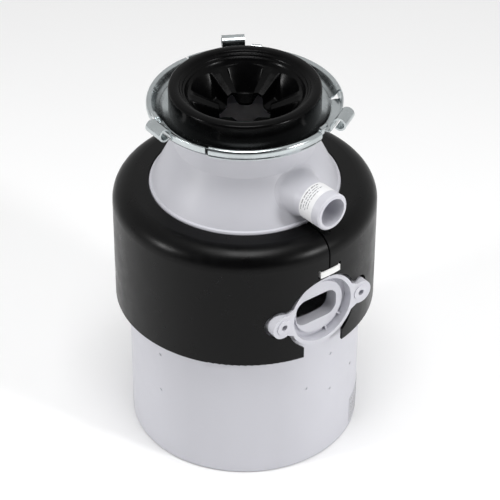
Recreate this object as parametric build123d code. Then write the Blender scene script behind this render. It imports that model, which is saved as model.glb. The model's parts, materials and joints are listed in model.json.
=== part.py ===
from build123d import *
import math
import os

# Kitchen garbage disposal: a grey can with the motor below and the grinding chamber above,
# a black outer wrap, a rubber gasket with its splash baffle, and a loose zinc mounting ring.
# Millimetres.  +Z is up and runs along the motor shaft.  The origin is on the shaft's axis in the
# plane that the can stands on.  The discharge flange faces -Y.

# Driving dimensions -------------------------------------------------------------------------
TOTAL_HEIGHT = 311.0        # floor to the top of the rubber gasket
BODY_R = 93.0               # outside of the grey can
BODY_WALL = 3.0
BODY_INNER_R = BODY_R - BODY_WALL
CHAMBER_R = 86.0            # inside of the grinding chamber
JOINT_Z = 186.0             # face between the can and the container
JOINT_FLANGE_R = 99.0
JOINT_FLANGE_T = 5.0
SCREW_CIRCLE_R = 95.6       # the six screws that hold the container to the can
SCREW_R = 2.0
SCREW_COUNT = 6
DIMPLES = (                 # (degrees from +X, height) of the moulding dimples in the can
    (-172.3, 100.0), (-172.3, 64.0), (-95.3, 76.8), (-79.8, 100.0), (-79.8, 64.0), (-60.3, 68.4),
)
DIMPLE_R = 1.3
DIMPLE_DEPTH = 0.5
LABEL_START = -59.0         # rating plate: degrees from +X
LABEL_SWEEP = 26.0
LABEL_LOW = 4.0
LABEL_HIGH = 28.5
LABEL_T = 0.3

BELL_Z = 122.0              # underside of the upper end bell
BELL_TOP_Z = 134.0          # floor of the grinding chamber
BASE_PLATE_Z = 8.0
BASE_PLATE_T = 4.0
BASE_PLATE_TOP = BASE_PLATE_Z + BASE_PLATE_T
BASE_HUB_TOP = 20.0
KNOCKOUT_R = 11.1           # seven-eighths of an inch across, for a half-inch cable clamp
KNOCKOUT_XY = (-16.0, 62.0)
BUTTON_R = 4.5
BUTTON_XY = (-58.0, 20.0)
WIRE_BOX = (24.0, 62.0, 8.0, 54.0)      # x and y limits of the wiring cover
COVER_T = 1.5
COVER_SCREW_XY = (43.0, 48.0)
COVER_SCREW_R = 1.6
GROUND_SCREW_XY = (22.0, 72.0)
GROUND_SCREW_R = 2.2
BOLT_CIRCLE_R = 79.0        # four long bolts through the motor
THROUGH_BOLT_R = 2.75
BOLT_COUNT = 4

SHELL_R = 104.0
SHELL_WALL = 2.5
SHELL_BOTTOM_Z = 119.5
SHELL_TOP_Z = 224.6
SHELL_SHOULDER_R = 16.0
SHELL_RIM_R = 75.4
EDGE_ROUND = 1.2
SEAM_AZ = 1.5               # degrees from -Y towards +X
SEAM_W = 1.3
CLIP_Z = 194.8
CLIP_SLOTS = (-3.4, 7.2)    # degrees from -Y towards +X
CLIP_LEGS = (-3.0, 6.8)
CLIP_HALF_H = 2.7
NOTCH_GAP = 2.2             # clearance of the shell round the discharge flange
NOTCH_LEG_W = 38.0
NOTCH_LEG_Z = 127.0
JACKET_GAP = 7.0            # clearance of the foam round the discharge flange

CONE_BASE_R = 73.6          # cone radius where the shell's top meets it
CONE_BASE_Z = 224.7
NECK_R = 55.5
NECK_Z = 262.0              # where the cone ends and the straight neck begins
NECK_TOP_Z = 295.0
NECK_LIP_Z = NECK_TOP_Z - 2.3           # underside of the lip that holds the gasket
NECK_WALL = 2.8

INLET_AZ = 5.0              # degrees from -Y towards +X
INLET_Z = 244.0
INLET_R = 15.0
INLET_BORE_R = 11.5
INLET_TIP = 99.0            # distance of the inlet's tip from the shaft's axis
INLET_CHAMFER = 1.2
INLET_PLUG = 66.0           # where the knock-out plug sits
INLET_LABEL = (77.5, 91.0)  # where the label lies along the inlet
INLET_LABEL_R = 14.7        # the label lies in a recess of this radius

PORT_Z = 157.0              # height of the discharge port's centre
FLANGE_Y = 100.5            # distance of the flange's face from the shaft's axis
FLANGE_R = 31.0
EAR_X = 37.5                # half the spacing of the two flange bolts
EAR_R = 10.0
BOLT_HOLE_R = 2.55          # tapping size for a quarter-inch screw
BOLT_HOLE_DEPTH = 13.0
PORT_X = -2.5               # the port lies a little to one side of the flange's centre
PORT_W = 39.0
PORT_H = 23.0
PORT_CORNER = 9.0
FLANGE_RIM_W = 3.2
GROOVE_W = 5.0
GROOVE_DEPTH = 8.0
PLATEAU_DEPTH = 5.0
BOSS_R = 6.5                # raised ring round each bolt hole
BOSS_T = 0.8

GASKET_R = 58.7
BAFFLE_HOLE_R = 20.0

RING_BORE_R = 56.3
RING_FLOOR_Z = 288.7
RING_SHEET = 1.5
RING_LUG_AZ = (60.0, 180.0, 300.0)      # degrees from +X, counter-clockwise
LUG_R = 5.4
LUG_BORE_R = 3.8
LUG_CENTRE_R = 80.5
LUG_CENTRE_Z = 300.5
LUG_LENGTH = 18.0

SHAFT_R = 9.0
JOURNAL_R = 7.5
SHAFT_TIP_R = 6.0
LOWER_BEARING_R = 13.0
UPPER_BEARING_R = 15.0
RUNNING_GAP = 0.05          # radial clearance of the shaft in its bearings
HEX_AF = 6.35               # quarter-inch hexagonal socket in the shaft's lower end
HEX_DEPTH = 12.0

STATOR_R = 84.0
STATOR_BORE_R = 46.0
STACK_Z = 44.0
STACK_H = 40.0
STACK_TOP = STACK_Z + STACK_H
STATOR_SLOTS = 24
COIL_H = 18.0
ROTOR_R = 45.4
ROTOR_BARS = 32
END_RING = (30.0, 43.0)     # inner and outer radius
END_RING_H = 6.0

GOVERNOR_Z = 38.0
WEIGHT_PIVOT_X = 19.0
WEIGHT_PIN_R = 1.4
COLLAR_Z = 24.5
COLLAR_GAP = 0.08

TURNTABLE_Z = 171.0
TURNTABLE_R = 82.6
TURNTABLE_T = 3.5
TURNTABLE_TOP = TURNTABLE_Z + TURNTABLE_T
HUB_R = 17.0
HUB_Z = 152.0
PIVOT_X = 52.0              # distance of an impeller's pivot from the shaft's axis
RIVET_R = 4.0
RIVET_HEAD_R = 6.5
SHREDDER_T = 2.2
SHREDDER_SLOTS = 30

BASE = (Align.CENTER, Align.CENTER, Align.MIN)


# Helpers ------------------------------------------------------------------------------------
def disc(radius, low, high, x=0.0, y=0.0):
    """An upright cylinder between two heights."""
    return Pos(x, y, low) * Cylinder(radius, high - low, align=BASE)


def tube(inner, outer, low, high, x=0.0, y=0.0):
    """An upright tube between two heights."""
    return disc(outer, low, high, x, y) - disc(inner, low, high, x, y)


def block(x0, x1, y0, y1, z0, z1):
    """A box given by its limits."""
    centre = Pos((x0 + x1) / 2, (y0 + y1) / 2, (z0 + z1) / 2)
    return centre * Box(x1 - x0, y1 - y0, z1 - z0)


def turned(points, start=0.0, sweep=360.0):
    """A closed outline of (radius, height) points turned about the shaft's axis."""
    outline = Polyline(*[(r, 0, z) for r, z in points], close=True)
    face = Rot(0, 0, start) * make_face(outline)
    return revolve(face, Axis.Z, sweep)


def turned_edges(edges, start=0.0, sweep=360.0):
    """A closed outline of lines and curves in the XZ plane turned about the shaft's axis."""
    face = Rot(0, 0, start) * make_face(Curve() + edges)
    return revolve(face, Axis.Z, sweep)


def line(a, b):
    return Line((a[0], 0, a[1]), (b[0], 0, b[1]))


def arc(a, middle, b):
    return ThreePointArc((a[0], 0, a[1]), (middle[0], 0, middle[1]), (b[0], 0, b[1]))


def along_inlet(radius, near, far):
    """A cylinder on the inlet's axis between two distances from the shaft's axis."""
    lying = Pos(0, -near, INLET_Z) * Rot(90, 0, 0) * Cylinder(radius, far - near, align=BASE)
    return Rot(0, 0, INLET_AZ) * lying


def facing_front(sketch, front, back):
    """A sketch in X and Z, extruded between two distances in front of the shaft's axis."""
    plane = Plane(origin=(0, -back, 0), x_dir=(1, 0, 0), z_dir=(0, -1, 0))
    return extrude(plane * sketch, front - back)


def polar(radius, degrees):
    angle = math.radians(degrees)
    return radius * math.cos(angle), radius * math.sin(angle)


def round_circle(radius, count):
    """Centres spaced evenly round a circle, the first on +X."""
    return [polar(radius, 360 / count * k) for k in range(count)]


# Can and discharge spout ----------------------------------------------------------------------
def flange_outline(grow=0.0):
    """Outline of the discharge flange: a disc with an ear on each side, grown by a margin."""
    ear = Pos(EAR_X, PORT_Z) * Circle(EAR_R + grow)
    ear += Polygon(
        (20, PORT_Z - 17 - grow), (EAR_X, PORT_Z - 7.5 - grow),
        (EAR_X, PORT_Z + 7.5 + grow), (20, PORT_Z + 17 + grow),
        align=None,
    )
    outline = Pos(0, PORT_Z) * Circle(FLANGE_R + grow)
    outline += ear
    outline += mirror(ear, about=Plane.YZ)
    return outline


def lower_housing():
    """The can, open below, with the chamber's wall, the joint flange and the discharge spout."""
    inner = BODY_INNER_R
    rim = 1.5
    can = turned([
        (inner, 0), (BODY_R - rim / 2, 0), (BODY_R, rim / 2), (BODY_R, JOINT_Z - JOINT_FLANGE_T),
        (JOINT_FLANGE_R, JOINT_Z - JOINT_FLANGE_T), (JOINT_FLANGE_R, JOINT_Z),
        (CHAMBER_R, JOINT_Z), (CHAMBER_R, BELL_TOP_Z), (inner, BELL_TOP_Z),
    ])
    skirt_back = 80.0
    skirt = Pos(0, -skirt_back, PORT_Z) * Rot(90, 0, 0)
    skirt *= Cone(FLANGE_R + 10, FLANGE_R - 0.6, FLANGE_Y - 3 - skirt_back, align=BASE)
    spout = skirt + facing_front(flange_outline(), FLANGE_Y, FLANGE_Y - 7)
    for side in (-1, 1):
        spout += facing_front(Pos(side * EAR_X, PORT_Z) * Circle(EAR_R - 0.8), FLANGE_Y, 80)
        spout += facing_front(Pos(side * EAR_X, PORT_Z) * Circle(BOSS_R), FLANGE_Y + BOSS_T, 90)
    spout -= disc(BODY_R - 1, 100, 220)
    spout -= disc(JOINT_FLANGE_R + 0.4, JOINT_Z, 220)
    housing = can + spout
    groove_r = FLANGE_R - FLANGE_RIM_W
    plateau_r = groove_r - GROOVE_W
    groove = Pos(0, PORT_Z) * (Circle(groove_r) - Circle(plateau_r))
    housing -= facing_front(groove, FLANGE_Y + 1, FLANGE_Y - GROOVE_DEPTH)
    housing -= facing_front(Pos(0, PORT_Z) * Circle(plateau_r + 0.1), FLANGE_Y + 1, FLANGE_Y - PLATEAU_DEPTH)
    port = Pos(PORT_X, PORT_Z) * RectangleRounded(PORT_W, PORT_H, PORT_CORNER)
    housing -= facing_front(port, FLANGE_Y + 1, 70)
    for side in (-1, 1):
        hole = Pos(side * EAR_X, PORT_Z) * Circle(BOLT_HOLE_R)
        housing -= facing_front(hole, FLANGE_Y + 1, FLANGE_Y - BOLT_HOLE_DEPTH)
    for angle in (-38, -72):
        rib = Pos(0, PORT_Z) * Rot(0, 0, angle) * Pos(FLANGE_R - 5.7, 0) * Rectangle(6, 1.2)
        housing += facing_front(rib, FLANGE_Y - PLATEAU_DEPTH - 0.1, FLANGE_Y - GROOVE_DEPTH - 0.5)
    for x, y in round_circle(SCREW_CIRCLE_R, SCREW_COUNT):
        housing -= disc(SCREW_R, JOINT_Z - 4, JOINT_Z, x, y)
    for angle, height in DIMPLES:
        dimple = Rot(0, 0, angle) * Pos(BODY_R - DIMPLE_DEPTH, 0, height) * Rot(0, 90, 0)
        housing -= dimple * Cylinder(DIMPLE_R, DIMPLE_DEPTH + 1, align=BASE)
    return housing


def base_plate():
    """Recessed floor of the can with the lower bearing's hub and the wiring openings."""
    top = BASE_PLATE_TOP
    plate = disc(BODY_INNER_R, BASE_PLATE_Z, top) + disc(LOWER_BEARING_R + 6, BASE_PLATE_Z, BASE_HUB_TOP)
    plate -= disc(LOWER_BEARING_R, BASE_PLATE_Z, BASE_HUB_TOP)
    plate -= disc(KNOCKOUT_R, BASE_PLATE_Z, top, *KNOCKOUT_XY)
    plate -= disc(BUTTON_R + 0.4, BASE_PLATE_Z, top, *BUTTON_XY)
    x0, x1, y0, y1 = WIRE_BOX
    plate -= block(x0 + 4, x1 - 4, y0 + 4, y1 - 12, BASE_PLATE_Z, top)
    plate -= disc(COVER_SCREW_R, BASE_PLATE_Z, top, *COVER_SCREW_XY)
    plate -= disc(GROUND_SCREW_R, BASE_PLATE_Z, top, *GROUND_SCREW_XY)
    for x, y in round_circle(BOLT_CIRCLE_R, BOLT_COUNT):
        plate -= disc(THROUGH_BOLT_R, BASE_PLATE_Z, top, x, y)
    return plate


def wiring_cover():
    """Flat cover over the wiring opening, against the underside of the base plate."""
    x0, x1, y0, y1 = WIRE_BOX
    under = BASE_PLATE_Z - COVER_T
    cover = block(x0, x1, y0, y1, under, BASE_PLATE_Z)
    cover = fillet(cover.edges().filter_by(Axis.Z), 4)
    cover -= disc(COVER_SCREW_R, 0, BASE_PLATE_Z, *COVER_SCREW_XY)
    rib = block(x0 + 8, x1 - 8, y0 + 14, y0 + 17, under - 0.8, under)
    return cover + rib


def screw(x, y, head_z, up, shank_r, head_r, head_t, length):
    """Pan-head screw: up is 1 when the shank rises from the head and -1 when it drops."""
    head = disc(head_r, min(head_z, head_z - up * head_t), max(head_z, head_z - up * head_t), x, y)
    shank = disc(shank_r, min(head_z, head_z + up * length), max(head_z, head_z + up * length), x, y)
    body = head + shank
    outer = head_z - up * head_t
    slot = block(x - head_r, x + head_r, y - 0.5, y + 0.5, outer - 0.8, outer + 0.8)
    return body - slot


def wiring_cover_screw():
    return screw(*COVER_SCREW_XY, BASE_PLATE_Z - COVER_T, 1, COVER_SCREW_R, 3.4, 2.0, 6)


def ground_screw():
    return screw(*GROUND_SCREW_XY, BASE_PLATE_Z, 1, GROUND_SCREW_R, 4.2, 2.4, 8)


def wiring_knockout_plug():
    """Dished disc left in the cable hole until it is knocked out."""
    plug = disc(KNOCKOUT_R, BASE_PLATE_Z, BASE_PLATE_TOP, *KNOCKOUT_XY)
    return plug - disc(KNOCKOUT_R - 2, BASE_PLATE_Z, BASE_PLATE_Z + 2.4, *KNOCKOUT_XY)


def overload_protector():
    """Thermal overload block above the base plate, hollow below for the reset button."""
    x, y = BUTTON_XY
    floor = BASE_PLATE_TOP
    case = block(x - 12, x + 12, y - 10, y + 10, floor, floor + 13)
    case -= disc(BUTTON_R + 2.4, floor, floor + 10, x, y)
    return case


def reset_button():
    """Round button that stands below the base plate, with a collar that keeps it in."""
    x, y = BUTTON_XY
    floor = BASE_PLATE_TOP
    cap = disc(BUTTON_R, BASE_PLATE_Z - 2.5, floor + 0.5, x, y)
    cap = fillet(cap.edges().sort_by(Axis.Z)[0], 0.8)
    stem = disc(2.5, floor, floor + 4, x, y)
    collar = disc(BUTTON_R + 1.6, floor + 3.6, floor + 6.5, x, y)
    return cap + stem + collar


def through_bolts():
    """Four long bolts that clamp base plate, stator and upper end bell together."""
    bolts = []
    for x, y in round_circle(BOLT_CIRCLE_R, BOLT_COUNT):
        head = extrude(Pos(x, y, BASE_PLATE_Z - 3.5) * RegularPolygon(4.8, 6), 3.5)
        bolts.append(head + disc(THROUGH_BOLT_R, BASE_PLATE_Z, BELL_Z + 8, x, y))
    return Compound(bolts)


# Bearings, seals and the end bell ---------------------------------------------------------------
def lower_bearing():
    return tube(JOURNAL_R + RUNNING_GAP, LOWER_BEARING_R, BASE_PLATE_Z, BASE_HUB_TOP)


def upper_end_bell():
    """Cast wall between the motor and the wet chamber, with the upper bearing's hub."""
    bell = disc(BODY_INNER_R, BELL_Z, BELL_TOP_Z) + disc(UPPER_BEARING_R + 5, 108, 140)
    for x, y in round_circle(BOLT_CIRCLE_R, BOLT_COUNT):
        bell += disc(6.5, BELL_Z - 10, BELL_Z, x, y)
        bell -= disc(THROUGH_BOLT_R, BELL_Z - 10, BELL_Z + 8, x, y)
    for k in range(8):
        rib = block(17, 74, -1.5, 1.5, BELL_Z - 7, BELL_Z)
        bell += Rot(0, 0, 22.5 + 45 * k) * rib
    return bell - disc(UPPER_BEARING_R, 108, 140)


def upper_bearing():
    return tube(SHAFT_R + RUNNING_GAP, UPPER_BEARING_R, 110, BELL_TOP_Z)


def shaft_seal():
    """Rubber lip seal above the upper bearing."""
    return turned([(9.4, 135.5), (15, 134), (15, 140), (12.5, 140), (11.6, 136.5), (9.4, 137.2)])


def chamber_o_ring():
    """Ring of round section, squeezed flat where it meets the joint's faces."""
    return tube(90.2, 92.8, JOINT_Z, JOINT_Z + 2.0)


# Motor ------------------------------------------------------------------------------------------
def stator_core():
    """Lamination stack with slots for the windings, open to the bore."""
    core = tube(STATOR_BORE_R, STATOR_R, STACK_Z, STACK_TOP)
    slot = block(STATOR_BORE_R - 2, 66, -2.4, 2.4, STACK_Z, STACK_TOP)
    for k in range(STATOR_SLOTS):
        core -= Rot(0, 0, 360 / STATOR_SLOTS * k) * slot
    for x, y in round_circle(BOLT_CIRCLE_R, BOLT_COUNT):
        core -= disc(THROUGH_BOLT_R, STACK_Z, STACK_TOP, x, y)
    return core


def stator_windings():
    """End turns above and below the stack."""
    coils = []
    for low, high in ((STACK_Z - COIL_H, STACK_Z), (STACK_TOP, STACK_TOP + COIL_H)):
        coil = tube(STATOR_BORE_R + 3, STATOR_R - 14, low, high)
        free = low if low < STACK_Z else high
        rims = [e for e in coil.edges().filter_by(GeomType.CIRCLE) if abs(e.center().Z - free) < 0.1]
        coils.append(fillet(rims, 5))
    return Compound(coils)


def start_switch():
    """Switch block on the base plate; its arm lies below the governor's collar."""
    body = block(34, 52, -34, -12, BASE_PLATE_TOP, 24)
    arm = block(12, 36, -17, -13, 20.6, 21.4)
    return body + arm


def motor_shaft():
    """Stepped shaft: lower journal, rotor seat, upper journal and turntable seat."""
    shaft = disc(JOURNAL_R, BASE_PLATE_Z + 1, 24) + disc(SHAFT_R, 24, TURNTABLE_Z)
    shaft += disc(SHAFT_TIP_R, TURNTABLE_Z, TURNTABLE_Z + 11)
    socket_r = HEX_AF / math.sqrt(3)
    hexagon = RegularPolygon(socket_r, 6)
    return shaft - extrude(Pos(0, 0, BASE_PLATE_Z + 1) * hexagon, HEX_DEPTH)


def rotor_core():
    """Squirrel-cage rotor stack with a shallow groove over each bar."""
    core = tube(SHAFT_R, ROTOR_R, STACK_Z, STACK_TOP)
    bar = block(ROTOR_R - 1.2, ROTOR_R + 1, -0.8, 0.8, STACK_Z, STACK_TOP)
    for k in range(ROTOR_BARS):
        core -= Rot(0, 0, 360 / ROTOR_BARS * k) * bar
    return core


def rotor_end_rings():
    """Cast rings at both ends of the rotor, the upper one with cooling blades."""
    lower = tube(*END_RING, STACK_Z - END_RING_H, STACK_Z)
    upper = tube(*END_RING, STACK_TOP, STACK_TOP + END_RING_H)
    blade = block(32, 41, -1.2, 1.2, STACK_TOP + END_RING_H - 0.1, STACK_TOP + 14)
    for k in range(8):
        upper += Rot(0, 0, 45 * k) * blade
    return Compound([lower, upper])


def thrust_washer():
    return tube(JOURNAL_R, 12, 20.4, 21.6)


def slinger():
    """Disc on the shaft that throws water away from the seal."""
    return turned([(SHAFT_R, 142.5), (22, 141.2), (22.5, 142.4), (13, 144.2), (13, 147), (SHAFT_R, 147)])


# Governor and switch collar ---------------------------------------------------------------------
def governor_base():
    """Plate pressed on the shaft, with two pairs of ears for the weights' pivots."""
    base = tube(SHAFT_R, 24, GOVERNOR_Z, GOVERNOR_Z + 2)
    for side in (-1, 1):
        for end in (-1, 1):
            x = side * WEIGHT_PIVOT_X
            base += block(x - 2.5, x + 2.5, end * 7 - 1, end * 7 + 1, GOVERNOR_Z - 6, GOVERNOR_Z)
    return base


def governor_weight(side):
    """Weight that swings outwards about its pivot when the motor is at speed."""
    x = side * WEIGHT_PIVOT_X
    pin = Pos(x, 0, GOVERNOR_Z - 3.6) * Rot(90, 0, 0) * Cylinder(WEIGHT_PIN_R, 11.4)
    inner, outer = sorted((x - side * 1.0, x + side * 4.5))
    mass = block(inner, outer, -5, 5, GOVERNOR_Z - 11, GOVERNOR_Z - 2.4)
    return mass + pin


def switch_collar():
    """Collar that slides on the shaft and works the start switch."""
    bore = SHAFT_R + COLLAR_GAP
    return tube(bore, 16, COLLAR_Z, COLLAR_Z + 2.5) + tube(bore, 12.5, COLLAR_Z, COLLAR_Z + 7)


# Turntable and chamber ----------------------------------------------------------------------------
def turntable():
    """Grinding disc with its hub, drain holes and impeller pivot holes."""
    top = TURNTABLE_TOP
    plate = disc(TURNTABLE_R, TURNTABLE_Z, top) + disc(HUB_R, HUB_Z, TURNTABLE_Z)
    plate -= disc(SHAFT_R, HUB_Z, TURNTABLE_Z)
    plate -= disc(SHAFT_TIP_R, TURNTABLE_Z, top)
    for x, y in round_circle(74, 12):
        plate -= disc(2.5, TURNTABLE_Z, top, x, y)
    for k in range(2):
        x, y = polar(36, 90 + 180 * k)
        plate -= disc(5, TURNTABLE_Z, top, x, y)
    for side in (-1, 1):
        plate -= disc(RIVET_R, TURNTABLE_Z, top, side * PIVOT_X, 0)
    return plate


def turntable_nut():
    top = TURNTABLE_TOP
    nut = extrude(Pos(0, 0, top) * RegularPolygon(9.5, 6), 6.5)
    return nut - disc(SHAFT_TIP_R, top, top + 6.5)


def impeller_rivets():
    """Two shouldered rivets that hold the impellers to the turntable."""
    top = TURNTABLE_TOP
    rivets = []
    for side in (-1, 1):
        x = side * PIVOT_X
        rivet = disc(RIVET_R, TURNTABLE_Z - 1, top + 4.6, x)
        rivet += disc(RIVET_HEAD_R, top + 4.6, top + 7, x)
        rivet += disc(RIVET_HEAD_R, TURNTABLE_Z - 2.5, TURNTABLE_Z, x)
        rivets.append(rivet)
    return Compound(rivets)


def impeller(side):
    """Swivelling lug: a flat foot round its rivet and a raised hammer at the outer end."""
    low = TURNTABLE_TOP + 0.4
    foot = SlotCenterToCenter(22, 20)
    blank = extrude(Pos(PIVOT_X + 5, 0, low) * foot, 3.8)
    hammer = block(PIVOT_X + 13, PIVOT_X + 24, -8, 8, low, low + 13)
    hammer = fillet(hammer.edges().filter_by(Axis.Z), 3)
    lug = blank + hammer - disc(RIVET_R + 0.08, low - 1, low + 20, PIVOT_X)
    return lug if side > 0 else Rot(0, 0, 180) * lug


def shredder_ring():
    """Stainless ring on the chamber's wall with grinding slots round the turntable's edge."""
    inner = CHAMBER_R - SHREDDER_T
    ring = tube(inner, CHAMBER_R, TURNTABLE_Z - 2.5, TURNTABLE_Z + 21)
    slot = block(inner - 1, CHAMBER_R - 0.8, -2.5, 2.5, TURNTABLE_Z - 3, TURNTABLE_Z + 9)
    for k in range(SHREDDER_SLOTS):
        ring -= Rot(0, 0, 360 / SHREDDER_SLOTS * k) * slot
    return ring


# Container -----------------------------------------------------------------------------------------
def cone_radius(z, inset=0.0):
    """Radius of the container's cone at a height, less a wall."""
    slope = (CONE_BASE_R - NECK_R) / (NECK_Z - CONE_BASE_Z)
    return CONE_BASE_R + (CONE_BASE_Z - z) * slope - inset


def container_body():
    """Upper half of the chamber: joint flange, bowl, cone, neck and the inlet spout."""
    flange_top = JOINT_Z + JOINT_FLANGE_T
    lip_r = 57.4
    lip_z = NECK_LIP_Z
    inner_cone = cone_radius(206, 3.2)
    inner_neck = NECK_R - NECK_WALL
    bowl = turned([
        (0, JOINT_Z), (JOINT_FLANGE_R, JOINT_Z), (JOINT_FLANGE_R, flange_top), (89.3, flange_top),
        (89.3, 197), (cone_radius(205), 205), (cone_radius(222), 222), (CONE_BASE_R + 1.3, 224.3),
        (CONE_BASE_R + 0.9, 225.4), (cone_radius(226), 226), (NECK_R, NECK_Z),
        (NECK_R, lip_z - 7.8), (57.2, lip_z - 7.0), (57.2, lip_z - 5.0), (NECK_R, lip_z - 4.6),
        (NECK_R, lip_z), (lip_r, lip_z), (lip_r, NECK_TOP_Z), (0, NECK_TOP_Z),
    ])
    cavity = turned([
        (0, JOINT_Z - 1), (CHAMBER_R, JOINT_Z - 1), (CHAMBER_R, 196), (inner_cone, 206),
        (inner_neck, NECK_Z - 1.5), (inner_neck, NECK_TOP_Z + 1), (0, NECK_TOP_Z + 1),
    ])
    near = 45.0
    fairing = Rot(0, 0, INLET_AZ) * Pos(0, -near, INLET_Z) * Rot(90, 0, 0)
    fairing *= Cone(19.0, INLET_LABEL_R - 0.6, 31.0, align=BASE)
    land_end = INLET_TIP - INLET_CHAMFER
    tip = Rot(0, 0, INLET_AZ) * Pos(0, -land_end, INLET_Z) * Rot(90, 0, 0)
    tip *= Cone(INLET_R, INLET_R - INLET_CHAMFER, INLET_CHAMFER, align=BASE)
    spout = along_inlet(INLET_LABEL_R, near, land_end) + along_inlet(INLET_R, INLET_LABEL[1], land_end)
    spout += fairing + tip
    container = bowl + spout - cavity
    container -= along_inlet(INLET_BORE_R, near - 5, INLET_TIP + 1)
    container -= chamber_o_ring()
    for x, y in round_circle(SCREW_CIRCLE_R, SCREW_COUNT):
        container -= disc(SCREW_R, JOINT_Z, flange_top, x, y)
    return container


def container_screws():
    screws = []
    for x, y in round_circle(SCREW_CIRCLE_R, SCREW_COUNT):
        screws.append(screw(x, y, JOINT_Z + JOINT_FLANGE_T, -1, SCREW_R, 3.2, 2.4, 9))
    return Compound(screws)


def inlet_knockout_plug():
    """Disc across the inlet's bore, knocked out when a dishwasher is connected."""
    return along_inlet(INLET_BORE_R, INLET_PLUG, INLET_PLUG + 2)


def inlet_label():
    """Thin wrap round the inlet, a little way in from its tip."""
    return along_inlet(INLET_R, *INLET_LABEL) - along_inlet(INLET_LABEL_R, *INLET_LABEL)


def rating_label():
    """Thin plate on the side of the can."""
    outer = BODY_R + LABEL_T
    outline = [(BODY_R, LABEL_LOW), (outer, LABEL_LOW), (outer, LABEL_HIGH), (BODY_R, LABEL_HIGH)]
    return turned(outline, LABEL_START, LABEL_SWEEP)


# Outer shell -----------------------------------------------------------------------------------------
def shell_notch():
    """Opening for the discharge flange, down through the shell's lower edge."""
    notch = flange_outline(NOTCH_GAP)
    notch += Pos(0, NOTCH_LEG_Z) * Rectangle(NOTCH_LEG_W, 20)
    return facing_front(notch, SHELL_R + 10, 60)


def outer_shell():
    """Black wrap with a rounded shoulder, split above the discharge flange."""
    bend_r = SHELL_R - SHELL_SHOULDER_R
    bend_z = SHELL_TOP_Z - SHELL_SHOULDER_R
    half = math.sqrt(0.5)
    inner_bend = SHELL_SHOULDER_R - SHELL_WALL
    inner_r = SHELL_R - SHELL_WALL
    under = SHELL_TOP_Z - SHELL_WALL
    edges = [
        line((inner_r, SHELL_BOTTOM_Z), (SHELL_R - EDGE_ROUND, SHELL_BOTTOM_Z)),
        arc((SHELL_R - EDGE_ROUND, SHELL_BOTTOM_Z),
            (SHELL_R - EDGE_ROUND * (1 - half), SHELL_BOTTOM_Z + EDGE_ROUND * (1 - half)),
            (SHELL_R, SHELL_BOTTOM_Z + EDGE_ROUND)),
        line((SHELL_R, SHELL_BOTTOM_Z + EDGE_ROUND), (SHELL_R, bend_z)),
        arc((SHELL_R, bend_z), (bend_r + SHELL_SHOULDER_R * half, bend_z + SHELL_SHOULDER_R * half),
            (bend_r, SHELL_TOP_Z)),
        line((bend_r, SHELL_TOP_Z), (SHELL_RIM_R + EDGE_ROUND, SHELL_TOP_Z)),
        arc((SHELL_RIM_R + EDGE_ROUND, SHELL_TOP_Z),
            (SHELL_RIM_R + EDGE_ROUND * (1 - half), SHELL_TOP_Z - EDGE_ROUND * (1 - half)),
            (SHELL_RIM_R, SHELL_TOP_Z - EDGE_ROUND)),
        line((SHELL_RIM_R, SHELL_TOP_Z - EDGE_ROUND), (SHELL_RIM_R, under)),
        line((SHELL_RIM_R, under), (bend_r, under)),
        arc((bend_r, under), (bend_r + inner_bend * half, bend_z + inner_bend * half),
            (inner_r, bend_z)),
        line((inner_r, bend_z), (inner_r, SHELL_BOTTOM_Z)),
    ]
    shell = turned_edges(edges)
    shell -= shell_notch()
    seam = block(-SEAM_W / 2, SEAM_W / 2, -SHELL_R - 5, -60, PORT_Z, SHELL_TOP_Z + 5)
    shell -= Rot(0, 0, SEAM_AZ) * seam
    for az in CLIP_SLOTS:
        slot = block(-1.5, 1.5, -SHELL_R - 5, -90, CLIP_Z - 3, CLIP_Z + 4.5)
        shell -= Rot(0, 0, az) * slot
    return shell


def shell_clip():
    """Tie across the seam: a curved bar with a leg through a slot at each end."""
    first, last = CLIP_LEGS
    low, high = CLIP_Z - CLIP_HALF_H, CLIP_Z + CLIP_HALF_H
    outline = [(SHELL_R + 0.05, low), (SHELL_R + 1.0, low), (SHELL_R + 1.0, high), (SHELL_R + 0.05, high)]
    bar = turned(outline, first - 90, last - first)
    for az in CLIP_LEGS:
        leg = block(-0.5, 0.5, -SHELL_R - 0.9, -SHELL_R + 4.5, low, high)
        bar += Rot(0, 0, az) * leg
    return bar


def insulation_jacket():
    """Foam between the can and the shell, open at the discharge flange."""
    jacket = tube(BODY_R + 0.5, SHELL_R - SHELL_WALL - 0.5, 124, JOINT_Z - JOINT_FLANGE_T - 1)
    opening = flange_outline(JACKET_GAP) + Pos(0, NOTCH_LEG_Z) * Rectangle(100, 40)
    return jacket - facing_front(opening, SHELL_R + 10, 60)


# Gasket and mounting ring -------------------------------------------------------------------------------
def mounting_gasket():
    """Rubber gasket snapped over the neck's lip, with the splash baffle inside it."""
    hole = BAFFLE_HOLE_R
    top = TOTAL_HEIGHT
    return turned([
        (NECK_R, NECK_LIP_Z - 1.9), (GASKET_R, NECK_LIP_Z - 1.9), (GASKET_R, top - 4),
        (GASKET_R - 0.6, top - 1.7), (GASKET_R - 2.2, top - 0.3), (GASKET_R - 4, top),
        (52.5, top - 0.6), (49.0, top - 5), (45.5, top - 7.5), (43.5, top - 9), (hole + 8, top - 25),
        (hole, top - 28), (hole, top - 30.5), (hole + 9, top - 28), (43.5, top - 13),
        (48.5, top - 11.5), (51.5, NECK_TOP_Z), (57.4, NECK_TOP_Z), (57.4, NECK_LIP_Z),
        (NECK_R, NECK_LIP_Z),
    ])


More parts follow.
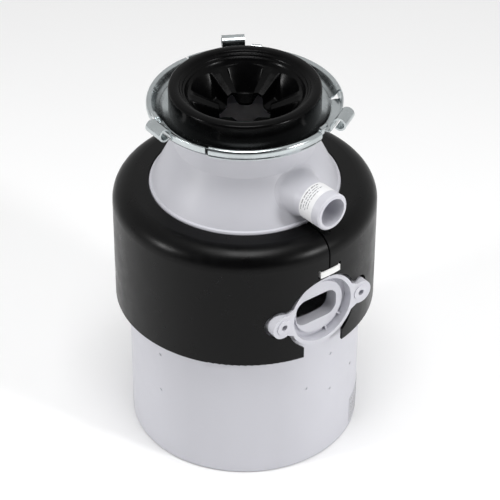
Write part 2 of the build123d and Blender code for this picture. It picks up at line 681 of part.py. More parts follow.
def ring_lip(start, sweep):
    """Rolled edge of the ring: up from the floor, over a crest and down outside."""
    floor = RING_FLOOR_Z
    over = [(66, floor + RING_SHEET), (69, floor + 2.4), (71.6, floor + 5.1), (72.9, floor + 6.8),
            (73.7, floor + 7.2), (74.7, floor + 6.7), (75.3, floor + 5.0), (75.4, floor + 2.3),
            (75.0, floor - 0.6)]
    under = [(73.5, floor - 0.5), (73.9, floor + 2.3), (73.8, floor + 4.6), (73.5, floor + 5.4),
             (72.6, floor + 4.2), (70.2, floor + 1.3), (68, floor + 0.2), (66, floor)]
    outer = Spline(*[(r, 0, z) for r, z in over])
    inner = Spline(*[(r, 0, z) for r, z in under])
    edges = [outer, line(over[-1], under[0]), inner, line(under[-1], over[0])]
    return turned_edges(edges, start, sweep)


def ring_strap(start, sweep):
    """Flat upright strap that carries a lug."""
    floor = RING_FLOOR_Z
    floor_top = floor + RING_SHEET
    return turned([(66, floor), (75.1, floor - 0.4), (75.1, floor + 9.8), (73.6, floor + 9.8),
                   (73.6, floor_top), (66, floor_top)], start, sweep)


def ring_lug(az):
    """Rolled socket for a screwdriver, tangential to the ring and joined to its strap."""
    place = Rot(0, 0, az) * Pos(LUG_CENTRE_R, 0, LUG_CENTRE_Z) * Rot(90, 0, 0)
    low = RING_FLOOR_Z + 2.8
    web = turned([(73.6, low), (75.1, low), (75.6, LUG_CENTRE_Z), (73.9, LUG_CENTRE_Z)], az - 6, 12)
    roll = place * Cylinder(LUG_R, LUG_LENGTH)
    bore = place * Cylinder(LUG_BORE_R, LUG_LENGTH + 4)
    return roll + web, bore


def ring_hook(start, sweep):
    """Curled tab beside each lug."""
    floor = RING_FLOOR_Z
    return turned([(66, floor), (71.9, floor), (71.9, floor + 10.4), (73.4, floor + 11.8),
                   (72.7, floor + 13.2), (70.4, floor + 11.2), (70.4, floor + RING_SHEET),
                   (66, floor + RING_SHEET)], start, sweep)


def mounting_ring():
    """Zinc sheet ring that turns on the neck: floor, rolled edge, straps, hooks and three lugs."""
    ring = tube(RING_BORE_R, 66.2, RING_FLOOR_Z, RING_FLOOR_Z + RING_SHEET)
    bores = []
    for az in RING_LUG_AZ:
        lug, bore = ring_lug(az)
        ring += ring_strap(az - 6.4, 36.4)
        ring += ring_lip(az + 32, 71.5)
        ring += ring_hook(az - 17, 6)
        ring += tube(66, 69, RING_FLOOR_Z, RING_FLOOR_Z + RING_SHEET)
        ring += lug
        bores.append(bore)
    for bore in bores:
        ring -= bore
    return ring


# Write every node --------------------------------------------------------------------------------------
os.makedirs("parts", exist_ok=True)

nodes = {
    "lower_housing": lower_housing(),
    "base_plate": base_plate(),
    "wiring_cover": wiring_cover(),
    "wiring_cover_screw": wiring_cover_screw(),
    "ground_screw": ground_screw(),
    "wiring_knockout_plug": wiring_knockout_plug(),
    "overload_protector": overload_protector(),
    "reset_button": reset_button(),
    "through_bolts": through_bolts(),
    "lower_bearing": lower_bearing(),
    "upper_end_bell": upper_end_bell(),
    "upper_bearing": upper_bearing(),
    "shaft_seal": shaft_seal(),
    "chamber_o_ring": chamber_o_ring(),
    "stator_core": stator_core(),
    "stator_windings": stator_windings(),
    "start_switch": start_switch(),
    "motor_shaft": motor_shaft(),
    "rotor_core": rotor_core(),
    "rotor_end_rings": rotor_end_rings(),
    "thrust_washer": thrust_washer(),
    "slinger": slinger(),
    "governor_base": governor_base(),
    "governor_weight_1": governor_weight(1),
    "governor_weight_2": governor_weight(-1),
    "switch_collar": switch_collar(),
    "turntable": turntable(),
    "turntable_nut": turntable_nut(),
    "impeller_rivets": impeller_rivets(),
    "impeller_1": impeller(1),
    "impeller_2": impeller(-1),
    "shredder_ring": shredder_ring(),
    "container_body": container_body(),
    "container_screws": container_screws(),
    "inlet_knockout_plug": inlet_knockout_plug(),
    "inlet_label": inlet_label(),
    "rating_label": rating_label(),
    "insulation_jacket": insulation_jacket(),
    "outer_shell": outer_shell(),
    "shell_clip": shell_clip(),
    "mounting_gasket": mounting_gasket(),
    "mounting_ring": mounting_ring(),
}
for name, shape in nodes.items():
    export_step(shape, f"parts/{name}.step")
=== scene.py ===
import json
import math

import bmesh
import bpy
from mathutils import Matrix, Vector


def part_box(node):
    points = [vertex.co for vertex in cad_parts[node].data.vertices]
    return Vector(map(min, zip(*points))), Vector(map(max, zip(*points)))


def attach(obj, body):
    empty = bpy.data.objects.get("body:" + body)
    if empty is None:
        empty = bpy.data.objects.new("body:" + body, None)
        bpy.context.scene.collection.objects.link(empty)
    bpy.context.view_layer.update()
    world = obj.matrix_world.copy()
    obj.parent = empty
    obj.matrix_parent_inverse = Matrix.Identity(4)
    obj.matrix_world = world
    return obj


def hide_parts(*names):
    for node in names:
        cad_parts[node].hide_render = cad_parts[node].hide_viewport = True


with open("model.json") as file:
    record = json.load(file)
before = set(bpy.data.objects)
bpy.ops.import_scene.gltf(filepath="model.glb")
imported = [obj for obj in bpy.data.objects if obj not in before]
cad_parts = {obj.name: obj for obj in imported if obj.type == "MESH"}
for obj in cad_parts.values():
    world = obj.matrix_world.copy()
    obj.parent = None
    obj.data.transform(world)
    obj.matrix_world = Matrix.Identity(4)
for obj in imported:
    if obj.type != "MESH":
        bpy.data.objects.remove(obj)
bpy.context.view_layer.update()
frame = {"nodes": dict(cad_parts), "record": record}

MM = 0.001
MOUNTS = {m["name"]: m for m in frame["record"]["mounts"]}
INLET_AXIS = Vector(MOUNTS["dishwasher_inlet"]["axis"])
INLET_HEIGHT = MOUNTS["dishwasher_inlet"]["pos_m"][2]
INLET_R = MOUNTS["dishwasher_inlet"]["dims"]["r_mm"] * MM
CAMERA_AZIMUTH = -37.0       # degrees, from looking along +Y
CAMERA_ELEVATION = 36.48


# ---------------------------------------------------------------------------------------------
# Materials
# ---------------------------------------------------------------------------------------------
class Shader:
    """A principled material whose nodes read the object's own coordinates."""

    def __init__(self, name, colour, roughness, metallic=0.0, specular=0.5, coat=0.0, coat_roughness=0.1):
        self.material = bpy.data.materials.new(name)
        self.material.use_nodes = True
        tree = self.material.node_tree
        self.nodes, self.links = tree.nodes, tree.links
        self.bsdf = self.nodes["Principled BSDF"]
        self.bsdf.inputs["Base Color"].default_value = (*colour, 1)
        self.bsdf.inputs["Roughness"].default_value = roughness
        self.bsdf.inputs["Metallic"].default_value = metallic
        self.bsdf.inputs["Specular IOR Level"].default_value = specular
        self.bsdf.inputs["Coat Weight"].default_value = coat
        self.bsdf.inputs["Coat Roughness"].default_value = coat_roughness
        self.coordinates = self.nodes.new("ShaderNodeTexCoord")
        self.height = None

    def stretched(self, scale):
        """Object coordinates stretched along each axis."""
        mapping = self.nodes.new("ShaderNodeMapping")
        mapping.inputs["Scale"].default_value = scale
        self.links.new(self.coordinates.outputs["Object"], mapping.inputs["Vector"])
        return mapping.outputs["Vector"]

    def noise(self, scale, detail=4.0, rough=0.55, stretch=(1, 1, 1)):
        node = self.nodes.new("ShaderNodeTexNoise")
        node.inputs["Scale"].default_value = scale
        node.inputs["Detail"].default_value = detail
        node.inputs["Roughness"].default_value = rough
        self.links.new(self.stretched(stretch), node.inputs["Vector"])
        return node.outputs["Fac"]

    def remap(self, value, low_in, high_in, low_out, high_out):
        node = self.nodes.new("ShaderNodeMapRange")
        for key, number in zip(("From Min", "From Max", "To Min", "To Max"),
                               (low_in, high_in, low_out, high_out)):
            node.inputs[key].default_value = number
        self.links.new(value, node.inputs["Value"])
        return node.outputs["Result"]

    def tint(self, factor, dark, light):
        """Base colour between two tints, by a factor from 0 to 1."""
        ramp = self.nodes.new("ShaderNodeValToRGB")
        ramp.color_ramp.elements[0].color = (*dark, 1)
        ramp.color_ramp.elements[1].color = (*light, 1)
        self.links.new(factor, ramp.inputs["Fac"])
        self.links.new(ramp.outputs["Color"], self.bsdf.inputs["Base Color"])

    def roughen(self, factor, low, high):
        self.links.new(self.remap(factor, 0.3, 0.7, low, high), self.bsdf.inputs["Roughness"])

    def bump(self, height, distance, strength=1.0):
        """Adds a layer of surface relief, in metres, to the layers before it."""
        node = self.nodes.new("ShaderNodeBump")
        node.inputs["Strength"].default_value = strength
        node.inputs["Distance"].default_value = distance
        self.links.new(height, node.inputs["Height"])
        if self.height is not None:
            self.links.new(self.height, node.inputs["Normal"])
        self.height = node.outputs["Normal"]
        self.links.new(self.height, self.bsdf.inputs["Normal"])


def shade(colour, factor):
    return tuple(channel * factor for channel in colour)


def moulded_plastic(name, colour, rough, spread, grain, specular=0.5):
    """Moulded plastic: slow tint variation, faint flow marks and a fine grain."""
    s = Shader(name, colour, rough, specular=specular)
    flow = s.noise(14.0, 3.0, 0.5, (1, 1, 0.35))
    s.tint(s.remap(flow, 0.3, 0.7, 0.0, 1.0), shade(colour, 1 - spread), shade(colour, 1 + spread))
    s.roughen(s.noise(60.0, 5.0, 0.6), rough - 0.06, rough + 0.07)
    s.bump(s.noise(26.0, 2.0, 0.4), 0.00022, 0.35)
    s.bump(s.noise(2600.0, 2.0, 0.5), grain, 0.5)
    return s.material


def rubber(name, colour, rough):
    """Moulded rubber: near black, with a faint bloom and soft waviness."""
    s = Shader(name, colour, rough, specular=0.08)
    bloom = s.noise(38.0, 6.0, 0.65)
    s.tint(s.remap(bloom, 0.35, 0.75, 0.0, 1.0), shade(colour, 0.8), shade(colour, 1.7))
    s.roughen(s.noise(90.0, 4.0, 0.6), rough - 0.07, rough + 0.1)
    s.bump(s.noise(40.0, 2.0, 0.4), 0.0001, 0.3)
    s.bump(s.noise(1500.0, 2.0, 0.5), 0.00002, 0.3)
    return s.material


def plated_sheet(name, colour, rough):
    """Zinc-plated sheet: bright, with rolling lines, faint cloudiness and small scratches."""
    s = Shader(name, colour, rough, metallic=1.0)
    cloud = s.noise(55.0, 5.0, 0.6)
    s.tint(s.remap(cloud, 0.3, 0.7, 0.0, 1.0), shade(colour, 0.86), shade(colour, 1.06))
    s.roughen(s.noise(120.0, 6.0, 0.7), rough - 0.06, rough + 0.10)
    s.bump(s.noise(60.0, 2.0, 0.5), 0.00006, 0.3)
    s.bump(s.noise(900.0, 3.0, 0.6, (1, 1, 6)), 0.000006, 0.3)
    return s.material


def machined_metal(name, colour, rough, stretch=(1, 1, 14)):
    """Turned or brushed metal with fine lines along one direction."""
    s = Shader(name, colour, rough, metallic=1.0)
    lines = s.noise(400.0, 4.0, 0.6, stretch)
    s.tint(s.remap(lines, 0.3, 0.7, 0.0, 1.0), shade(colour, 0.85), shade(colour, 1.08))
    s.roughen(s.noise(70.0, 4.0, 0.6), rough - 0.07, rough + 0.1)
    s.bump(lines, 0.00003, 0.5)
    return s.material


def coarse_surface(name, colour, rough, metallic, size, depth, spread=0.12):
    """Cast, laminated, foamed or wound surfaces, told apart by grain size and depth."""
    s = Shader(name, colour, rough, metallic=metallic)
    grain = s.noise(size, 5.0, 0.6)
    s.tint(s.remap(grain, 0.3, 0.7, 0.0, 1.0), shade(colour, 1 - spread), shade(colour, 1 + spread))
    s.roughen(s.noise(size * 0.5, 3.0, 0.5), rough - 0.06, rough + 0.06)
    s.bump(grain, depth, 0.7)
    return s.material


def laminated(name, colour):
    """Stacked steel laminations: fine level lines."""
    s = Shader(name, colour, 0.5, metallic=0.8)
    wave = s.nodes.new("ShaderNodeTexWave")
    wave.bands_direction = "Z"
    wave.inputs["Scale"].default_value = 320.0
    wave.inputs["Distortion"].default_value = 0.4
    s.links.new(s.coordinates.outputs["Object"], wave.inputs["Vector"])
    s.tint(wave.outputs["Fac"], shade(colour, 0.6), shade(colour, 1.25))
    s.bump(wave.outputs["Fac"], 0.0001, 0.6)
    return s.material


def paper(name, colour, rough):
    s = Shader(name, colour, rough, specular=0.4)
    fibre = s.noise(300.0, 4.0, 0.6)
    s.tint(s.remap(fibre, 0.3, 0.7, 0.0, 1.0), shade(colour, 0.96), shade(colour, 1.02))
    s.roughen(fibre, rough - 0.05, rough + 0.05)
    s.bump(fibre, 0.00002, 0.4)
    return s.material


GREY = (0.585, 0.585, 0.63)
MATERIALS = {
    "grey_moulding": moulded_plastic("grey_moulding_look", GREY, 0.42, 0.025, 0.000012),
    "black_shell": moulded_plastic("black_shell_look", (0.0010, 0.0010, 0.0011), 0.31, 0.12, 0.00002, 0.15),
    "black_rubber": rubber("black_rubber_look", (0.0012, 0.0012, 0.0013), 0.22),
    "zinc_plate": plated_sheet("zinc_plate_look", (0.54, 0.58, 0.59), 0.2),
    "white_plastic": moulded_plastic("white_plastic_look", (0.80, 0.80, 0.79), 0.4, 0.02, 0.00001),
    "label_paper": paper("label_paper_look", (0.83, 0.83, 0.84), 0.5),
    "rating_plate": paper("rating_plate_look", (0.50, 0.50, 0.53), 0.42),
    "grey_foam": coarse_surface("grey_foam_look", (0.02, 0.02, 0.022), 0.9, 0.0, 500.0, 0.0006, 0.4),
    "stainless": machined_metal("stainless_look", (0.62, 0.62, 0.61), 0.32, (1, 1, 3)),
    "machined_steel": machined_metal("machined_steel_look", (0.55, 0.56, 0.58), 0.28),
    "galvanised_steel": plated_sheet("galvanised_look", (0.58, 0.60, 0.62), 0.38),
    "laminations": laminated("laminations_look", (0.22, 0.22, 0.24)),
    "copper_winding": coarse_surface("copper_winding_look", (0.55, 0.20, 0.08), 0.35, 0.9, 260.0, 0.0005, 0.3),
    "cast_aluminium": coarse_surface("cast_aluminium_look", (0.60, 0.61, 0.63), 0.48, 1.0, 420.0, 0.0001),
    "bronze": machined_metal("bronze_look", (0.60, 0.38, 0.16), 0.35),
    "seal_rubber": rubber("seal_rubber_look", (0.012, 0.012, 0.012), 0.5),
    "phenolic": moulded_plastic("phenolic_look", (0.03, 0.022, 0.018), 0.45, 0.15, 0.00003),
    "red_plastic": moulded_plastic("red_plastic_look", (0.50, 0.015, 0.012), 0.3, 0.05, 0.00001),
    "green_screw": plated_sheet("green_screw_look", (0.05, 0.36, 0.12), 0.35),
    "nylon": moulded_plastic("nylon_look", (0.70, 0.68, 0.58), 0.5, 0.04, 0.00002),
}

for entry in frame["record"]["subparts"]:
    cad_object = frame["nodes"][entry["node"]]
    look = MATERIALS[entry["material_slot"]]
    for index in range(len(cad_object.material_slots)):
        cad_object.material_slots[index].material = look


# ---------------------------------------------------------------------------------------------
# Mesh helpers
# ---------------------------------------------------------------------------------------------
def finish_piece(mesh_builder, name, slot, body, smooth_angle=40.0):
    """Turns a bmesh into an object with a material, a body to ride on and smooth shading."""
    bmesh.ops.remove_doubles(mesh_builder, verts=mesh_builder.verts, dist=1e-6)
    bmesh.ops.recalc_face_normals(mesh_builder, faces=mesh_builder.faces)
    mesh = bpy.data.meshes.new(name)
    mesh_builder.to_mesh(mesh)
    mesh_builder.free()
    piece = bpy.data.objects.new(name, mesh)
    bpy.context.scene.collection.objects.link(piece)
    mesh.materials.append(MATERIALS[slot])
    for face in mesh.polygons:
        face.use_smooth = True
    mesh.set_sharp_from_angle(angle=math.radians(smooth_angle))
    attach(piece, body)
    return piece


def polar(radius, degrees, z):
    angle = math.radians(degrees)
    return Vector((radius * math.cos(angle), radius * math.sin(angle), z))


def smoothstep(edge0, edge1, value):
    t = min(1.0, max(0.0, (value - edge0) / (edge1 - edge0)))
    return t * t * (3 - 2 * t)


def grid(builder, rows, closed_u, closed_v=False):
    """Faces between rows of points; closed_u joins each row's ends, closed_v the last row to the first."""
    made = [[builder.verts.new(p) for p in row] for row in rows]
    count = len(rows[0])
    spans = len(rows) if closed_v else len(rows) - 1
    for i in range(spans):
        below, above = made[i], made[(i + 1) % len(rows)]
        for j in range(count if closed_u else count - 1):
            k = (j + 1) % count
            builder.faces.new((below[j], below[k], above[k], above[j]))
    return made


# ---------------------------------------------------------------------------------------------
# Rubber gasket with its pleated splash baffle
# ---------------------------------------------------------------------------------------------
PLEATS = 6
PLEAT_AZIMUTH = 53.0         # degrees from +X to the middle of one flute
BAFFLE_EDGE = 43.8           # millimetres, where the pleats begin
BAFFLE_HOLE = 20.0
BAFFLE_TOP_Z = 302.3         # where the baffle leaves the gasket's rim
FLUTE_FLOOR_Z = 282.1
FLUTE_HALF = 20.5            # degrees, half a flute's width at its outer end
GASKET_STEPS = 432


def baffle_height(radius, degrees):
    """Top of the baffle: roofed ridges with deep flutes between them."""
    pitch = 360.0 / PLEATS
    off = abs((degrees - PLEAT_AZIMUTH + pitch / 2) % pitch - pitch / 2)
    inward = (BAFFLE_EDGE - radius) / (BAFFLE_EDGE - BAFFLE_HOLE)
    half = FLUTE_HALF - 3.0 * inward
    ridge = BAFFLE_TOP_Z - 11.5 * inward ** 0.9
    crest = 1.5 * smoothstep(0.0, 0.25, inward) * max(0.0, (off - half) / (pitch / 2 - half))
    floor = max(FLUTE_FLOOR_Z - 1.2 * inward, BAFFLE_TOP_Z - 46.0 * inward) + 2.5 * (off / half) ** 2
    wall = 1.0 - smoothstep(half - 2.0, half + 0.8, off)
    return (ridge + crest) * (1 - wall) + min(floor, ridge) * wall


def gasket():
    lo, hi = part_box("mounting_gasket")
    outer, top, low = hi.x / MM, hi.z / MM, lo.z / MM
    outside = [(55.6, low), (outer - 1.0, low), (outer - 0.3, low + 0.3), (outer, low + 1.0),
               (outer, low + 5), (outer, top - 2.9)]
    for k in range(1, 9):
        turn = math.radians(90 * k / 9)
        outside.append((outer - 2.4 + 2.4 * math.cos(turn), top - 2.9 + 2.6 * math.sin(turn)))
    rim = [(outer - 2.8, top - 0.25), (54.6, top), (52.6, top - 0.1), (51.0, top - 0.5), (50.4, top - 0.9),
           (49.9, top - 1.8), (49.3, top - 2.5), (48.7, top - 2.6), (48.2, top - 2.9), (47.8, top - 3.8),
           (47.3, top - 4.6), (46.7, top - 4.7), (46.2, top - 5.0), (45.8, top - 5.9), (45.3, top - 6.8),
           (44.7, top - 7.5), (44.3, top - 8.0)]
    rows = []
    angles = [360.0 * k / GASKET_STEPS for k in range(GASKET_STEPS)]
    for radius, z in outside + rim:
        rows.append([polar(radius * MM, a, z * MM) for a in angles])
    steps = [BAFFLE_EDGE - 0.35 * k for k in range(12)]
    steps += [40.0 - (40.0 - BAFFLE_HOLE) * k / 24 for k in range(25)]
    for radius in steps:
        rows.append([polar(radius * MM, a, baffle_height(radius, a) * MM) for a in angles])
    for radius in reversed(steps):
        drop = 2.2 if radius > BAFFLE_HOLE + 0.2 else 1.9
        rows.append([polar((radius + 0.15) * MM, a, (baffle_height(radius, a) - drop) * MM) for a in angles])
    for radius, z in ((46.5, 298.9), (49.5, 298.0), (52.0, 295.2), (55.4, 295.2), (57.3, 295.1), (57.3, 292.8),
                      (55.6, 292.8)):
        rows.append([polar(radius * MM, a, z * MM) for a in angles])
    builder = bmesh.new()
    grid(builder, rows, closed_u=True, closed_v=True)
    piece = finish_piece(builder, "pleated_gasket", "black_rubber", "housing", 60.0)
    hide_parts("mounting_gasket")


gasket()


# ---------------------------------------------------------------------------------------------
# Zinc mounting ring: dished sheet, rolled lip, straps, curled hooks and rolled lugs
# ---------------------------------------------------------------------------------------------
SHEET = 1.5                  # millimetres
LUGS = [m for name, m in MOUNTS.items() if name.startswith("ring_lug")]
DISH = [(57.0, 289.5), (60.0, 289.6), (63.5, 290.4), (66.5, 292.0)]
LIP = [(65.5, 291.4), (68.6, 293.7), (70.7, 296.5), (72.1, 298.2), (73.4, 298.6), (74.4, 297.9), (74.8, 296.2),
       (74.5, 294.0), (73.7, 292.2), (73.4, 290.9)]
STRAP = [(65.5, 291.4), (69.5, 291.9), (72.6, 292.2), (74.0, 293.5), (74.3, 295.5), (74.3, 298.9)]
HOOK = [(65.5, 291.4), (68.6, 291.9), (70.6, 292.7), (71.2, 294.5), (71.2, 298.5), (71.6, 300.5), (72.7, 301.5),
        (73.8, 301.0), (74.2, 299.7)]


def smooth_line(points, steps=5):
    """A Catmull-Rom curve through (x, y) points."""
    ends = [points[0]] + list(points) + [points[-1]]
    line = []
    for i in range(1, len(ends) - 2):
        p0, p1, p2, p3 = (Vector(ends[i + k]) for k in (-1, 0, 1, 2))
        for j in range(steps):
            t = j / steps
            line.append(0.5 * (2 * p1 + (p2 - p0) * t + (2 * p0 - 5 * p1 + 4 * p2 - p3) * t ** 2
                               + (3 * p1 - p0 - 3 * p2 + p3) * t ** 3))
    return line + [Vector(points[-1])]


def sheet_section(centre_line, thickness, bevel=0.25):
    """Closed outline of a sheet bent along a line, with eased edges."""
    left, right = [], []
    count = len(centre_line)
    for i, point in enumerate(centre_line):
        along = (centre_line[min(i + 1, count - 1)] - centre_line[max(i - 1, 0)]).normalized()
        side = Vector((-along.y, along.x)) * thickness / 2
        left.append(point + side)
        right.append(point - side)
    for edge in (left, right):
        edge[0] = edge[0] + (edge[1] - edge[0]).normalized() * bevel
        edge[-1] = edge[-1] + (edge[-2] - edge[-1]).normalized() * bevel
    tip = centre_line[-1]
    heel = centre_line[0]
    inner = 1 - 2 * bevel / thickness
    tip_pair = [tip + (left[-1] - right[-1]) / 2 * inner, tip - (left[-1] - right[-1]) / 2 * inner]
    heel_pair = [heel - (left[0] - right[0]) / 2 * inner, heel + (left[0] - right[0]) / 2 * inner]
    return left + tip_pair + right[::-1] + heel_pair


def swept_sheet(builder, centre_line, start, end, steps):
    """Sweeps a sheet's section round the shaft's axis between two angles."""
    section = sheet_section(smooth_line(centre_line), SHEET)
    rows = []
    for k in range(steps + 1):
        angle = start + (end - start) * k / steps
        rows.append([polar(p.x * MM, angle, p.y * MM) for p in section])
    made = grid(builder, rows, closed_u=True)
    for row in (made[0], made[-1]):
        builder.faces.new(row)


def lug_line(centre_r, centre_z, radius):
    """The sheet's path up the strap and round the rolled lug."""
    path = [Vector((74.3, 294.5)), Vector((74.6, 297.0))]
    for k in range(25):
        turn = math.radians(185 - 318 * k / 24)
        path.append(Vector((centre_r + radius * math.cos(turn), centre_z + radius * math.sin(turn))))
    return path


def rolled_lug(builder, lug):
    centre, along = Vector(lug["pos_m"]), Vector(lug["axis"]).normalized()
    outward = Vector((centre.x, centre.y, 0)).normalized()
    bore = lug["dims"]["r_mm"]
    half = lug["dims"]["length_mm"] / 2
    line = lug_line(centre.xy.length / MM, centre.z / MM, bore + SHEET / 2 + 0.05)
    section = sheet_section(line, SHEET)
    rows = []
    for k in range(7):
        shift = -half + 2 * half * k / 6
        rows.append([outward * p.x * MM + Vector((0, 0, p.y * MM)) + along * shift * MM for p in section])
    made = grid(builder, rows, closed_u=True)
    for row in (made[0], made[-1]):
        builder.faces.new(row)


def mounting_ring():
    builder = bmesh.new()
    section = sheet_section(smooth_line(DISH), SHEET)
    rows = [[polar(p.x * MM, k * 1.5, p.y * MM) for p in section] for k in range(240)]
    grid(builder, rows, closed_u=True, closed_v=True)
    for lug in LUGS:
        azimuth = math.degrees(math.atan2(lug["pos_m"][1], lug["pos_m"][0]))
        swept_sheet(builder, HOOK, azimuth - 17, azimuth - 11, 5)
        swept_sheet(builder, STRAP, azimuth - 6.8, azimuth + 30, 28)
        swept_sheet(builder, LIP, azimuth + 32, azimuth + 103, 56)
        rolled_lug(builder, lug)
    piece = finish_piece(builder, "zinc_ring", "zinc_plate", "mounting_ring", 50.0)
    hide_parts("mounting_ring")


mounting_ring()


# ---------------------------------------------------------------------------------------------
# Swell where the dishwasher inlet leaves the container's cone
# ---------------------------------------------------------------------------------------------
CONE_BASE = (73.6, 224.7)    # radius and height in millimetres
CONE_TOP = (55.5, 262.0)
LABEL_EDGE = 77.5            # distance from the shaft at which the inlet's label begins


def cone_radius(z):
    share = (z - CONE_BASE[1]) / (CONE_TOP[1] - CONE_BASE[1])
    return CONE_BASE[0] + (CONE_TOP[0] - CONE_BASE[0]) * min(1.0, share)


def inlet_point(distance, radius, turn):
    """A point by distance from the shaft, radius about the inlet's axis and angle from its top."""
    level = INLET_AXIS.normalized()
    across = Vector((-level.y, level.x, 0))
    point = level * distance + across * radius * math.sin(turn) + Vector((0, 0, radius * math.cos(turn)))
    return (point + Vector((0, 0, INLET_HEIGHT / MM))) * MM


def on_cone(radius, turn):
    """Distance along the inlet's axis where the container's wall is met."""
    wall = cone_radius(INLET_HEIGHT / MM + radius * math.cos(turn))
    return math.sqrt(wall ** 2 - (radius * math.sin(turn)) ** 2)


def inlet_swell():
    spout_r = INLET_R / MM - 0.3
    rows = []
    for k in range(96):
        turn = 2 * math.pi * k / 96
        root = 20.1 + 1.75 * math.cos(turn) - 1.9 * math.cos(2 * turn)
        p0 = Vector((LABEL_EDGE, spout_r + 0.04))
        p1 = Vector((on_cone(spout_r, turn), spout_r + 0.9))
        p2 = Vector((on_cone(root, turn) + 0.05, root))
        ring = [(p0 + Vector((0, -1.5)))]
        for j in range(21):
            t = j / 20
            ring.append(p0 * (1 - t) ** 2 + p1 * 2 * t * (1 - t) + p2 * t ** 2)
        ring.append(p2 + Vector((-0.5, 0.25)))
        ring.append(p2 + Vector((-1.5, -1.5)))
        rows.append([inlet_point(p.x, p.y, turn) for p in ring])
    builder = bmesh.new()
    grid(builder, rows, closed_u=True, closed_v=True)
    finish_piece(builder, "inlet_swell", "grey_moulding", "housing", 50.0)


inlet_swell()


# ---------------------------------------------------------------------------------------------
# Generic print on the inlet's label and on the rating plate
# ---------------------------------------------------------------------------------------------
MATERIALS["print_ink"] = paper("print_ink_look", (0.22, 0.22, 0.23), 0.6)


MARK_EDGES = ((-1, -0.05), (-1, 0.04), (1, 0.04), (1, -0.05))     # side and lift of a mark's four edges
PLATE_R = 93.3               # millimetres, outside of the rating plate


def bars(name, place, rows, seed_step):
    """Rows of short raised marks; place turns (along, across, height) into a point."""
    builder = bmesh.new()
    for index, (across, start, end, width) in enumerate(rows):
        along = start
        step = 0
        while along < end:
            length = 1.0 + ((index * 5 + step * seed_step) % 7) * 0.42
            stop = min(along + length, end)
            count = 3
            strip = [[place(along + (stop - along) * k / count, across + side * width / 2, lift)
                      for k in range(count + 1)] for side, lift in MARK_EDGES]
            grid(builder, strip, closed_u=False, closed_v=True)
            along = stop + 0.55 + ((index + step) % 3) * 0.3
            step += 1
    piece = finish_piece(builder, name, "label_paper", "housing", 30.0)
    piece.data.materials.clear()
    piece.data.materials.append(MATERIALS["print_ink"])


def label_print():
    radius = INLET_R / MM
    rows = [(79.6, -23.0, 4.0, 0.9), (82.0, -21.0, 1.0, 0.6), (84.0, -22.0, 3.0, 0.6), (86.2, -20.0, -2.0, 0.6)]
    bars("inlet_label_print",
         lambda along, across, lift: inlet_point(across, radius + lift, along / radius), rows, 3)


def plate_print():
    first, last = -57.5, -35.0
    rows = [(z, math.radians(first) * PLATE_R, math.radians(last) * PLATE_R, 0.8)
            for z in (25.5, 21.0, 18.0, 15.0)]
    rows += [(z, math.radians(first) * PLATE_R, math.radians(-47.0) * PLATE_R, 0.6) for z in (11.5, 9.0, 6.8)]
    bars("rating_plate_print",
         lambda along, across, lift: polar((PLATE_R + lift) * MM, math.degrees(along / PLATE_R), across * MM),
         rows, 5)


label_print()
plate_print()


# ---------------------------------------------------------------------------------------------
# Floor, lights and camera
# ---------------------------------------------------------------------------------------------
def floor():
    builder = bmesh.new()
    bmesh.ops.create_grid(builder, x_segments=8, y_segments=8, size=6.0)
    mesh = bpy.data.meshes.new("studio_floor")
    builder.to_mesh(mesh)
    builder.free()
    plane = bpy.data.objects.new("studio_floor", mesh)
    plane.location.z = -0.0005
    bpy.context.scene.collection.objects.link(plane)
    s = Shader("studio_floor_look", (0.93, 0.93, 0.93), 0.6, specular=0.2)
    s.tint(s.noise(3.0, 2.0), (0.92, 0.92, 0.92), (0.94, 0.94, 0.94))
    mesh.materials.append(s.material)


def direction(azimuth, elevation):
    """Unit vector from the object towards a viewer at an azimuth and an elevation."""
    a, e = math.radians(azimuth), math.radians(elevation)
    return Vector((math.sin(a) * math.cos(e), -math.cos(a) * math.cos(e), math.sin(e)))


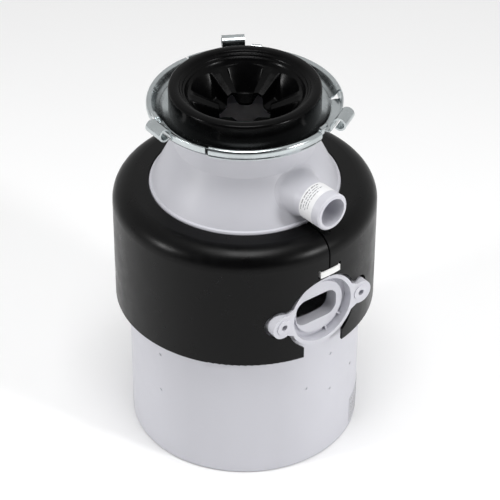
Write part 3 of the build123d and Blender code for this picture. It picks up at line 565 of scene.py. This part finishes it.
def soft_light(name, azimuth, elevation, distance, size, power, aim=0.15):
    data = bpy.data.lights.new(name, "AREA")
    data.shape = "RECTANGLE"
    data.size, data.size_y = size
    data.energy = power
    light = bpy.data.objects.new(name, data)
    target = Vector((0, 0, aim))
    light.location = target + direction(azimuth, elevation) * distance
    light.rotation_euler = (light.location - target).to_track_quat("Z", "Y").to_euler()
    bpy.context.scene.collection.objects.link(light)


def studio_world():
    """Pale surroundings that fall off towards the front, where the studio is darker."""
    world = bpy.data.worlds.new("studio_world")
    bpy.context.scene.world = world
    world.use_nodes = True
    nodes, links = world.node_tree.nodes, world.node_tree.links
    background = nodes["Background"]
    coordinates = nodes.new("ShaderNodeTexCoord")
    dot = nodes.new("ShaderNodeVectorMath")
    dot.operation = "DOT_PRODUCT"
    dot.inputs[1].default_value = direction(CAMERA_AZIMUTH, 12.0)
    ramp = nodes.new("ShaderNodeValToRGB")
    stops = ramp.color_ramp.elements
    stops[0].position, stops[0].color = 0.25, (0.64, 0.64, 0.64, 1)
    stops[1].position, stops[1].color = 0.72, (0.07, 0.07, 0.073, 1)
    links.new(coordinates.outputs["Generated"], dot.inputs[0])
    links.new(dot.outputs["Value"], ramp.inputs["Fac"])
    links.new(ramp.outputs["Color"], background.inputs["Color"])
    background.inputs["Strength"].default_value = 1.0


def camera():
    """The view: slightly above, turned to the discharge side."""
    data = bpy.data.cameras.new("main_camera")
    data.sensor_width = 36.0
    data.lens = 158.4
    data.clip_end = 20
    eye = bpy.data.objects.new("main_camera", data)
    target = Vector((0.00340, -0.00257, 0.1546))
    back = direction(CAMERA_AZIMUTH, CAMERA_ELEVATION)
    aim = back.to_track_quat("Z", "Y").to_matrix().to_4x4()
    roll = Matrix.Rotation(math.radians(0.23), 4, "Z")
    eye.matrix_world = Matrix.Translation(target + back * 1.7607) @ aim @ roll
    bpy.context.scene.collection.objects.link(eye)
    bpy.context.scene.camera = eye


floor()
studio_world()
soft_light("left_softbox", CAMERA_AZIMUTH - 68, 22, 1.5, (0.2, 0.3), 6.5)
soft_light("right_softbox", CAMERA_AZIMUTH + 58, 22, 1.5, (0.2, 0.3), 9)
soft_light("top_softbox", CAMERA_AZIMUTH, 76, 1.8, (0.8, 0.8), 18)
camera()
view = bpy.context.scene.view_settings
view.view_transform = "Standard"
view.look = "None"
